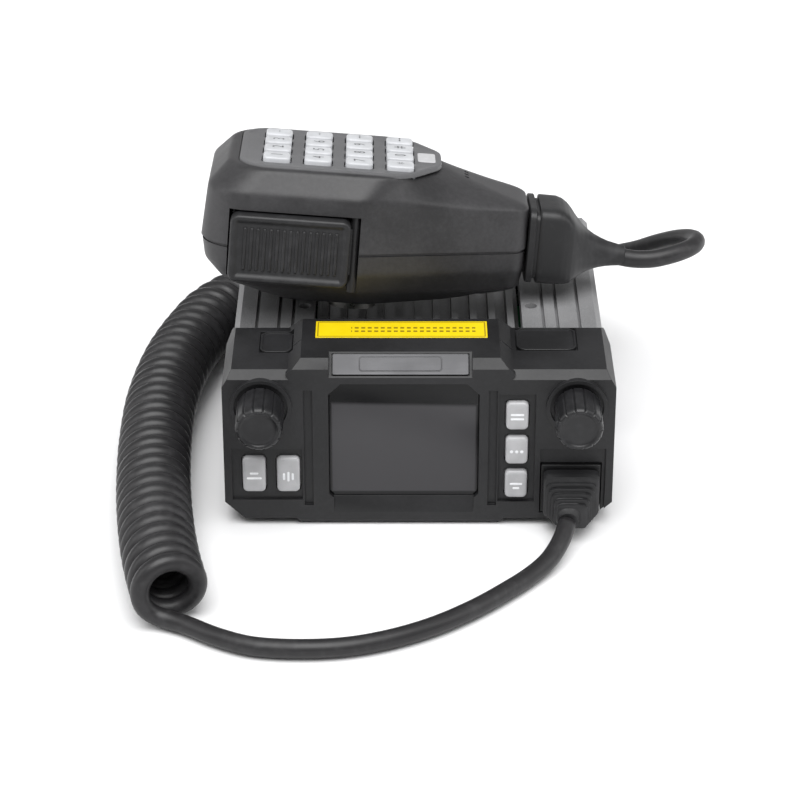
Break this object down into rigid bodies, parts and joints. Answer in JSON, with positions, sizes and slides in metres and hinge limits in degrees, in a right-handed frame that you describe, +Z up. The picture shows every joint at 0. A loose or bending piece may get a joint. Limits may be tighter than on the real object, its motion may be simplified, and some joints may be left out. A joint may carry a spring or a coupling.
{
  "type": "mobile transceiver",
  "caption": "Small two-way radio with a colour screen, two knobs, finned body and fan, its keypad hand microphone lying across the top and a curly cord beside it.",
  "frame": {"origin": "middle of the radio's flat underside", "axes": "+Z up, front panel faces -Y, +X to the right as the user faces the screen"},
  "size_m": [0.1567, 0.1957, 0.0841],
  "materials": {
    "casting": "satin black powder coat",
    "cover_paint": "satin black",
    "panel_plastic": "fine moulded texture, charcoal black",
    "window": "clear dark window",
    "display": "dark panel",
    "plate": "satin dark grey",
    "label_yellow": "printed film",
    "knob_rubber": "satin",
    "pot_metal": "plain",
    "mat_rubber": "matt",
    "jack_plastic": "satin",
    "board_green": "solder mask",
    "speaker_black": "matt",
    "fan_plastic": "satin",
    "guard_steel": "bright",
    "socket_nickel": "nickel plate",
    "screw_steel": "black zinc",
    "mic_plastic": "fine moulded texture, black",
    "keypad_grey": "satin grey",
    "mic_rubber": "satin",
    "boot_rubber": "satin",
    "cord_rubber": "satin",
    "front_key_plastic": "satin grey",
    "mic_key_plastic": "satin pale grey"
  },
  "bodies": {
    "radio": {"chassis": "casting", "bottom_cover": "cover_paint", "front_panel": "panel_plastic", "screen_window": "window", "screen_module": "display", "name_plate": "plate", "heat_label": "label_yellow", "panel_clips": "panel_plastic", "volume_pot": "pot_metal", "channel_encoder": "pot_metal", "key_mat": "mat_rubber", "mic_jack": "jack_plastic", "front_board": "board_green", "main_board": "board_green", "speaker": "speaker_black", "fan_frame": "fan_plastic", "fan_guard": "guard_steel", "antenna_socket": "socket_nickel", "power_inlet": "jack_plastic", "speaker_jack": "socket_nickel", "casing_screws": "screw_steel", "mic_plug": "boot_rubber", "plug_lead": "cord_rubber", "curly_cord": "cord_rubber"},
    "left_knob": {"left_knob": "knob_rubber"},
    "right_knob": {"right_knob": "knob_rubber"},
    "left_key_1": {"left_key_1": "front_key_plastic"},
    "left_key_2": {"left_key_2": "front_key_plastic"},
    "right_key_1": {"right_key_1": "front_key_plastic"},
    "right_key_2": {"right_key_2": "front_key_plastic"},
    "right_key_3": {"right_key_3": "front_key_plastic"},
    "fan_rotor": {"fan_rotor": "fan_plastic"},
    "microphone": {"mic_front_shell": "mic_plastic", "mic_back_shell": "mic_plastic", "keypad_plate": "keypad_grey", "mic_key_mat": "mat_rubber", "mic_board": "board_green", "mic_capsule": "socket_nickel", "hanger_button": "socket_nickel", "mic_screws": "screw_steel", "mic_boot": "boot_rubber", "mic_lead": "cord_rubber"},
    "ptt_button": {"ptt_button": "mic_rubber"},
    "mic_key_1": {"mic_key_1": "mic_key_plastic"},
    "mic_key_2": {"mic_key_2": "mic_key_plastic"},
    "mic_key_3": {"mic_key_3": "mic_key_plastic"},
    "mic_key_4": {"mic_key_4": "mic_key_plastic"},
    "mic_key_5": {"mic_key_5": "mic_key_plastic"},
    "mic_key_6": {"mic_key_6": "mic_key_plastic"},
    "mic_key_7": {"mic_key_7": "mic_key_plastic"},
    "mic_key_8": {"mic_key_8": "mic_key_plastic"},
    "mic_key_9": {"mic_key_9": "mic_key_plastic"},
    "mic_key_10": {"mic_key_10": "mic_key_plastic"},
    "mic_key_11": {"mic_key_11": "mic_key_plastic"},
    "mic_key_12": {"mic_key_12": "mic_key_plastic"},
    "mic_key_13": {"mic_key_13": "mic_key_plastic"},
    "mic_key_14": {"mic_key_14": "mic_key_plastic"},
    "mic_key_15": {"mic_key_15": "mic_key_plastic"},
    "mic_key_16": {"mic_key_16": "mic_key_plastic"}
  },
  "joints": [
    {"name": "volume_turn", "type": "hinge", "parent": "radio", "child": "left_knob", "pos_m": [-0.0395, -0.06, 0.0342], "axis": [0, 1, 0], "range_deg": [-140, 140]},
    {"name": "channel_turn", "type": "hinge", "parent": "radio", "child": "right_knob", "pos_m": [0.0395, -0.06, 0.0342], "axis": [0, 1, 0], "continuous": true},
    {"name": "left_key_1_press", "type": "slide", "parent": "radio", "child": "left_key_1", "axis": [0, 1, 0], "range_m": [0, 0.0007], "stiffness_N_per_m": 400},
    {"name": "left_key_2_press", "type": "slide", "parent": "radio", "child": "left_key_2", "axis": [0, 1, 0], "range_m": [0, 0.0007], "stiffness_N_per_m": 400},
    {"name": "right_key_1_press", "type": "slide", "parent": "radio", "child": "right_key_1", "axis": [0, 1, 0], "range_m": [0, 0.0007], "stiffness_N_per_m": 400},
    {"name": "right_key_2_press", "type": "slide", "parent": "radio", "child": "right_key_2", "axis": [0, 1, 0], "range_m": [0, 0.0007], "stiffness_N_per_m": 400},
    {"name": "right_key_3_press", "type": "slide", "parent": "radio", "child": "right_key_3", "axis": [0, 1, 0], "range_m": [0, 0.0007], "stiffness_N_per_m": 400},
    {"name": "fan_spin", "type": "hinge", "parent": "radio", "child": "fan_rotor", "pos_m": [0, 0.046, 0.022], "axis": [0, 1, 0], "continuous": true},
    {"name": "mic_lift", "type": "slide", "parent": "radio", "child": "microphone", "axis": [0, 0, 1], "range_m": [0, 0.06]},
    {"name": "ptt_press", "type": "hinge", "parent": "microphone", "child": "ptt_button", "pos_m": [-0.0165, -0.0274, 0.06293], "axis": [-0.0775, -0.1564, -0.9846], "range_deg": [0, 4], "stiffness_Nm_per_rad": 0.6},
    {"name": "mic_key_1_press", "type": "slide", "parent": "microphone", "child": "mic_key_1", "axis": [-0.0775, -0.1564, -0.9846], "range_m": [0, 0.0006], "stiffness_N_per_m": 300},
    {"name": "mic_key_2_press", "type": "slide", "parent": "microphone", "child": "mic_key_2", "axis": [-0.0775, -0.1564, -0.9846], "range_m": [0, 0.0006], "stiffness_N_per_m": 300},
    {"name": "mic_key_3_press", "type": "slide", "parent": "microphone", "child": "mic_key_3", "axis": [-0.0775, -0.1564, -0.9846], "range_m": [0, 0.0006], "stiffness_N_per_m": 300},
    {"name": "mic_key_4_press", "type": "slide", "parent": "microphone", "child": "mic_key_4", "axis": [-0.0775, -0.1564, -0.9846], "range_m": [0, 0.0006], "stiffness_N_per_m": 300},
    {"name": "mic_key_5_press", "type": "slide", "parent": "microphone", "child": "mic_key_5", "axis": [-0.0775, -0.1564, -0.9846], "range_m": [0, 0.0006], "stiffness_N_per_m": 300},
    {"name": "mic_key_6_press", "type": "slide", "parent": "microphone", "child": "mic_key_6", "axis": [-0.0775, -0.1564, -0.9846], "range_m": [0, 0.0006], "stiffness_N_per_m": 300},
    {"name": "mic_key_7_press", "type": "slide", "parent": "microphone", "child": "mic_key_7", "axis": [-0.0775, -0.1564, -0.9846], "range_m": [0, 0.0006], "stiffness_N_per_m": 300},
    {"name": "mic_key_8_press", "type": "slide", "parent": "microphone", "child": "mic_key_8", "axis": [-0.0775, -0.1564, -0.9846], "range_m": [0, 0.0006], "stiffness_N_per_m": 300},
    {"name": "mic_key_9_press", "type": "slide", "parent": "microphone", "child": "mic_key_9", "axis": [-0.0775, -0.1564, -0.9846], "range_m": [0, 0.0006], "stiffness_N_per_m": 300},
    {"name": "mic_key_10_press", "type": "slide", "parent": "microphone", "child": "mic_key_10", "axis": [-0.0775, -0.1564, -0.9846], "range_m": [0, 0.0006], "stiffness_N_per_m": 300},
    {"name": "mic_key_11_press", "type": "slide", "parent": "microphone", "child": "mic_key_11", "axis": [-0.0775, -0.1564, -0.9846], "range_m": [0, 0.0006], "stiffness_N_per_m": 300},
    {"name": "mic_key_12_press", "type": "slide", "parent": "microphone", "child": "mic_key_12", "axis": [-0.0775, -0.1564, -0.9846], "range_m": [0, 0.0006], "stiffness_N_per_m": 300},
    {"name": "mic_key_13_press", "type": "slide", "parent": "microphone", "child": "mic_key_13", "axis": [-0.0775, -0.1564, -0.9846], "range_m": [0, 0.0006], "stiffness_N_per_m": 300},
    {"name": "mic_key_14_press", "type": "slide", "parent": "microphone", "child": "mic_key_14", "axis": [-0.0775, -0.1564, -0.9846], "range_m": [0, 0.0006], "stiffness_N_per_m": 300},
    {"name": "mic_key_15_press", "type": "slide", "parent": "microphone", "child": "mic_key_15", "axis": [-0.0775, -0.1564, -0.9846], "range_m": [0, 0.0006], "stiffness_N_per_m": 300},
    {"name": "mic_key_16_press", "type": "slide", "parent": "microphone", "child": "mic_key_16", "axis": [-0.0775, -0.1564, -0.9846], "range_m": [0, 0.0006], "stiffness_N_per_m": 300}
  ]
}
